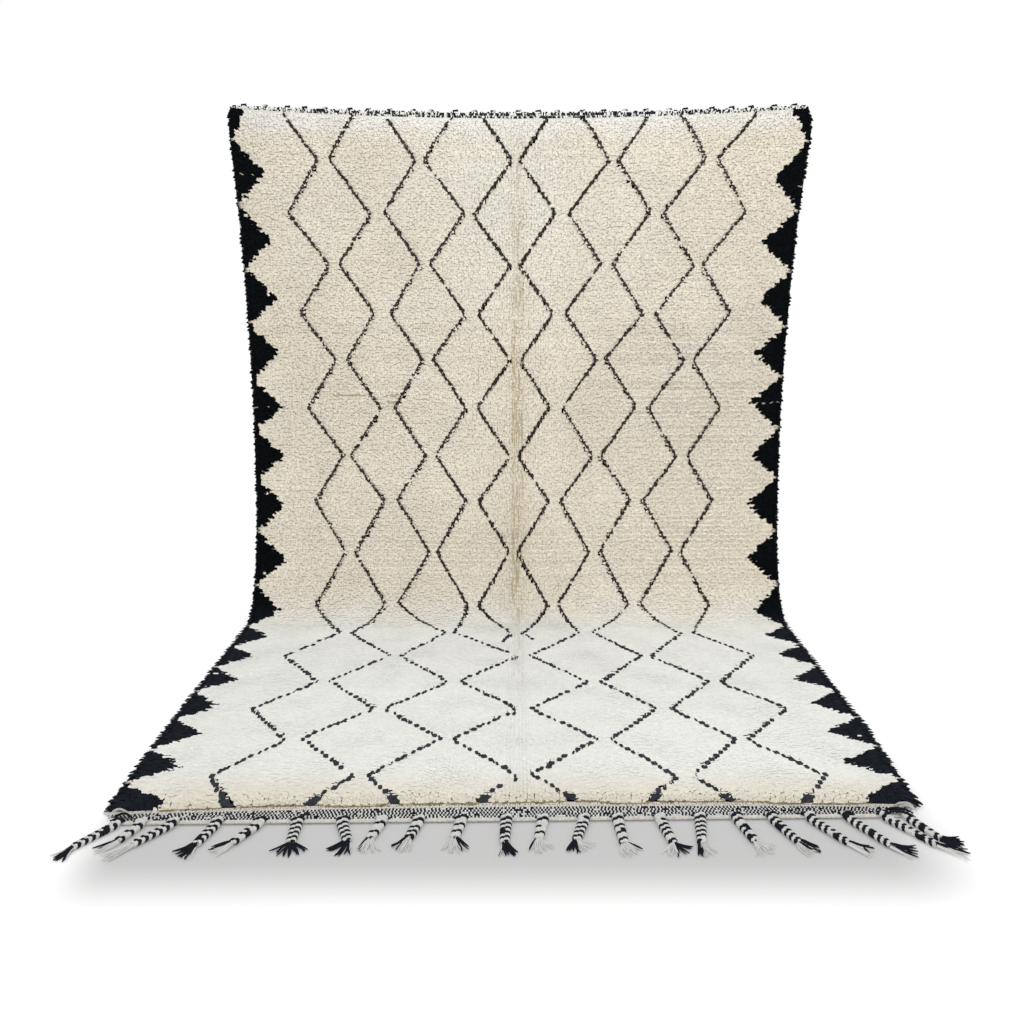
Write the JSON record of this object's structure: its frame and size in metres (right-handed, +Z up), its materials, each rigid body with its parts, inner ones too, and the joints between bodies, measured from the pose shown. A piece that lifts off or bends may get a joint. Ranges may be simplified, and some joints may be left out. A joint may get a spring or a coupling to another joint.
{
  "type": "beni ourain rug",
  "caption": "Hand-knotted cream shag rug with dark diamond lattice and sawtooth sides, hung by its top edge and run out over the floor, with plaited fringes.",
  "frame": {"origin": "the middle of the part's bottom, at floor level", "axes": "+X across the rug to the right as seen from its pile side, +Y from the floor end back to the hung end, +Z up from the floor"},
  "size_m": [2.0672, 1.7701, 1.8261],
  "materials": {
    "wool_pile": "knotted wool pile, cream with near-black lattice and sawtooth sides, and flat-woven ends",
    "wound_wool": "side cord wound with grey-speckled wool",
    "plaited_wool": "warp ends plaited in threes, black with cream"
  },
  "bodies": {
    "root": {"rug_cloth": "wool_pile", "selvedge_left": "wound_wool", "selvedge_right": "wound_wool", "fringe_bottom": "plaited_wool", "fringe_top": "plaited_wool"}
  },
  "joints": []
}
